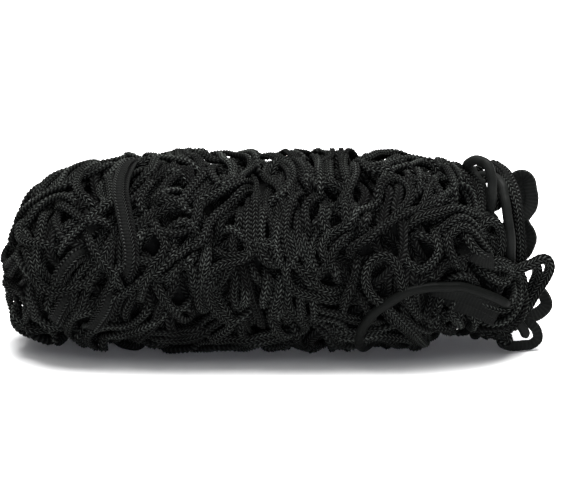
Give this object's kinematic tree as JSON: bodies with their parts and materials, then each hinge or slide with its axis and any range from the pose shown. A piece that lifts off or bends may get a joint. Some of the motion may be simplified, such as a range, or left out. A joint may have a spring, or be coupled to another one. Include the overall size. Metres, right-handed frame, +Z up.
{
  "type": "rolled cargo net",
  "caption": "Knotless knitted cargo net rolled into a bundle, with loose loops of border band, net cord and round elastic cord at one end.",
  "frame": {"origin": "on the resting plane, under the middle of the roll", "axes": "+X along the roll towards its end with the loose loops, +Y to the back, +Z up"},
  "size_m": [0.3488, 0.1437, 0.1264],
  "materials": {
    "net_cord": "black warp-knitted polypropylene cord",
    "border_band": "black knitted border band, smoother than the net cord",
    "elastic_cord": "black round elastic cord in a smooth braided sheath"
  },
  "bodies": {
    "root": {"net_roll": "net_cord", "border_band_left": "border_band", "border_band_low": "border_band", "border_fall": "border_band", "border_loops_end": "border_band", "border_loop_low": "border_band", "elastic_hairpin": "elastic_cord", "elastic_drop": "elastic_cord", "elastic_sweep": "elastic_cord", "net_loop_side": "net_cord", "net_loop_inner": "net_cord", "net_loop_low": "net_cord"}
  },
  "joints": []
}
